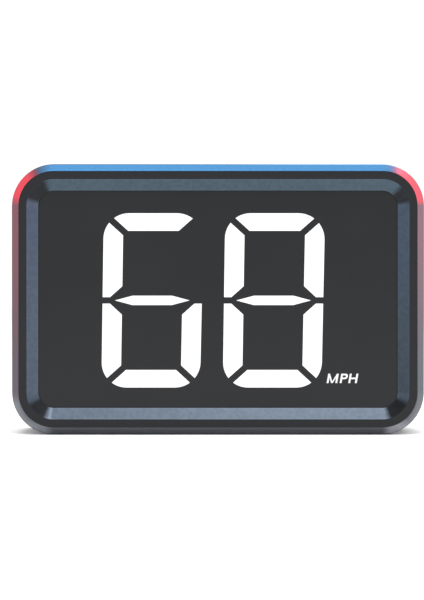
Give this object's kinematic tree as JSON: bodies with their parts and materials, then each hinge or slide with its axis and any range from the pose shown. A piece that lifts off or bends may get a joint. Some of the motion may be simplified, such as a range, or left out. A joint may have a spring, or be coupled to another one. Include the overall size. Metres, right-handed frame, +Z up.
{
  "type": "digital speed display",
  "caption": "Solar-charged digital speed display: a rounded dark case with lit seven-segment digits, a metal rim, and a hinged stand behind it.",
  "frame": {"origin": "middle of the bottom of the object's box, on the surface that it stands on", "axes": "+Z up, the display faces -Y, +X to the right of someone reading it"},
  "size_m": [0.09, 0.0556, 0.059],
  "materials": {
    "anodised_rim": "satin, tinted blue along the top and red at the upper corners",
    "black_satin": "satin",
    "black_panel": "gloss",
    "black_shell": "fine moulded texture",
    "stand_plastic": "fine moulded texture",
    "button_plastic": "smooth",
    "lit_resin": "lit",
    "tinted_resin": "gloss",
    "white_print": "printed",
    "white_plastic": "satin",
    "circuit_board": "solder mask",
    "chip_black": "moulded",
    "lamp_resin": "clear",
    "tin_plate": "satin",
    "plated_steel": "plated",
    "screw_steel": "blackened",
    "antenna_ceramic": "unglazed",
    "battery_foil": "foil pouch",
    "foam": "open cell",
    "tape": "matte",
    "washer_polymer": "smooth",
    "wire_red": "smooth",
    "wire_black": "smooth",
    "solar_board": "white laminate",
    "solar_silicon": "dark blue cell",
    "solar_silver": "printed line",
    "solar_resin": "clear, fine texture",
    "pad_foam": "closed cell"
  },
  "bodies": {
    "stand": {"stand_base": "stand_plastic", "base_pad": "pad_foam"},
    "display": {"trim_ring": "anodised_rim", "front_bezel": "black_satin", "panel_tape": "tape", "face_panel": "black_panel", "tens_segments": "lit_resin", "units_segments": "lit_resin", "unlit_segment": "tinted_resin", "unit_mark": "white_print", "diffuser_film": "white_plastic", "reflector_block": "white_plastic", "segment_leds": "lamp_resin", "main_board": "circuit_board", "microcontroller": "chip_black", "led_driver": "chip_black", "charge_controller": "chip_black", "power_inductor": "chip_black", "gps_module": "tin_plate", "gps_antenna": "antenna_ceramic", "buzzer": "chip_black", "vibration_switch": "tin_plate", "usb_port": "plated_steel", "usb_tongue": "chip_black", "battery": "battery_foil", "battery_foam": "foam", "battery_leads": "wire_red", "battery_connector": "white_plastic", "rear_shell": "black_shell", "solar_backing": "solar_board", "solar_cells": "solar_silicon", "solar_busbars": "solar_silver", "solar_cover": "solar_resin", "solar_leads": "wire_black", "case_screws": "screw_steel", "mode_switch": "chip_black", "set_switch": "chip_black", "power_switch": "chip_black", "hinge_bracket": "stand_plastic", "bracket_screws": "screw_steel", "hinge_pin": "plated_steel", "hinge_nut": "plated_steel", "friction_washers": "washer_polymer"},
    "mode_key": {"mode_plunger": "washer_polymer", "mode_button": "button_plastic"},
    "set_key": {"set_plunger": "washer_polymer", "set_button": "button_plastic"},
    "power_key": {"power_slider": "washer_polymer", "power_knob": "button_plastic"}
  },
  "joints": [
    {"name": "display_tilt", "type": "hinge", "parent": "stand", "child": "display", "pos_m": [0, -0.0022, 0.005], "axis": [-1, 0, 0], "range_deg": [0, 80]},
    {"name": "mode_press", "type": "slide", "parent": "display", "child": "mode_key", "axis": [0, -1, 0], "range_m": [0, 0.0004], "stiffness_N_per_m": 2500, "springref_m": -0.0001},
    {"name": "set_press", "type": "slide", "parent": "display", "child": "set_key", "axis": [0, -1, 0], "range_m": [0, 0.0004], "stiffness_N_per_m": 2500, "springref_m": -0.0001},
    {"name": "power_slide", "type": "slide", "parent": "display", "child": "power_key", "axis": [1, 0, 0], "range_m": [0, 0.0024]}
  ]
}
